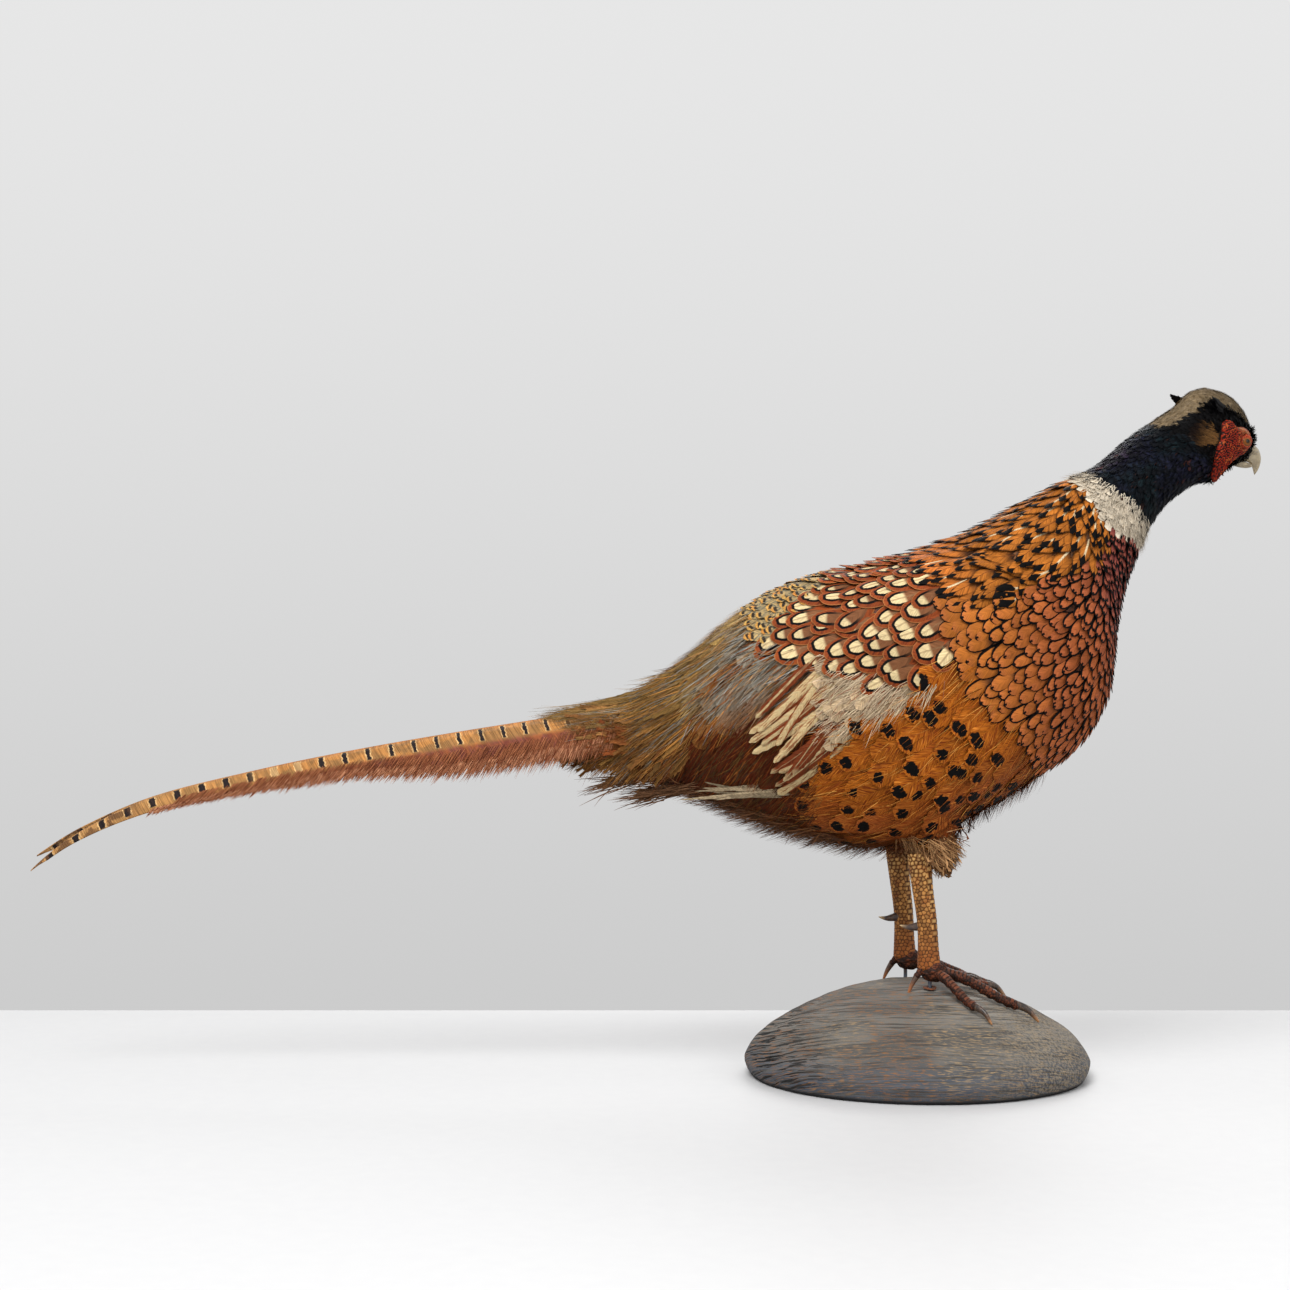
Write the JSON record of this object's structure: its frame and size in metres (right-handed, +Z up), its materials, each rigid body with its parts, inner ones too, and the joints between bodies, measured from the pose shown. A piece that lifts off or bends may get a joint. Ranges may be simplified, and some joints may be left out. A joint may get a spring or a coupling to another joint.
{
  "type": "mounted cock pheasant on a domed wooden base",
  "caption": "Life-size standing cock pheasant with a white neck ring and long barred tail, head turned away, held by leg wires on a low round wooden mound.",
  "frame": {"origin": "centre of the base's flat underside", "axes": "+X the way the bird's body faces, +Y its left side, +Z up"},
  "size_m": [0.7836, 0.216, 0.4355],
  "materials": {
    "body_feathers": "orange-gold to coppery-maroon vaned feathers with black fringes and spots",
    "neck_feathers": "short black feathers with a violet-blue gloss, white ring at the foot of the neck, grey-brown crown",
    "rump_feathers": "long soft olive, grey-blue and rust plumes",
    "wing_feathers": "chestnut, cream and buff vaned feathers",
    "tail_feathers": "buff vanes with black cross bars and lilac-rufous loose edges",
    "wattle_skin": "dry red papillose bare skin",
    "bill_horn": "pale grey-olive horn, satin",
    "glass_eye": "polished amber glass with a dark pupil",
    "leg_scales": "dry brown scaled skin",
    "claw_horn": "dark horn",
    "thigh_down": "short buff-brown down",
    "iron_wire": "rusted iron",
    "painted_wood": "blue-grey paint rubbed through to the grain"
  },
  "bodies": {
    "root": {"base": "painted_wood", "trunk": "body_feathers", "neck": "neck_feathers", "tail_coverts": "rump_feathers", "head": "neck_feathers", "bill_upper": "bill_horn", "bill_lower": "bill_horn", "eye_right": "glass_eye", "wattle_right": "wattle_skin", "ear_tuft_right": "neck_feathers", "wing_right": "wing_feathers", "eye_left": "glass_eye", "wattle_left": "wattle_skin", "ear_tuft_left": "neck_feathers", "wing_left": "wing_feathers", "tail_root": "tail_feathers", "tail_middle": "tail_feathers", "tail_tip_right": "tail_feathers", "tail_side_right_upper": "tail_feathers", "tail_side_right_lower": "tail_feathers", "tail_side_right_lowest": "tail_feathers", "tail_tip_left": "tail_feathers", "tail_side_left_upper": "tail_feathers", "tail_side_left_lower": "tail_feathers", "tail_side_left_lowest": "tail_feathers", "thigh_right": "thigh_down", "tarsus_right": "leg_scales", "spur_right": "claw_horn", "toe_right_outer": "leg_scales", "claw_right_outer": "claw_horn", "toe_right_middle": "leg_scales", "claw_right_middle": "claw_horn", "toe_right_inner": "leg_scales", "claw_right_inner": "claw_horn", "toe_right_hind": "leg_scales", "claw_right_hind": "claw_horn", "wire_right": "iron_wire", "thigh_left": "thigh_down", "tarsus_left": "leg_scales", "spur_left": "claw_horn", "toe_left_outer": "leg_scales", "claw_left_outer": "claw_horn", "toe_left_middle": "leg_scales", "claw_left_middle": "claw_horn", "toe_left_inner": "leg_scales", "claw_left_inner": "claw_horn", "toe_left_hind": "leg_scales", "claw_left_hind": "claw_horn", "wire_left": "iron_wire", "washer_right": "iron_wire"}
  },
  "joints": []
}
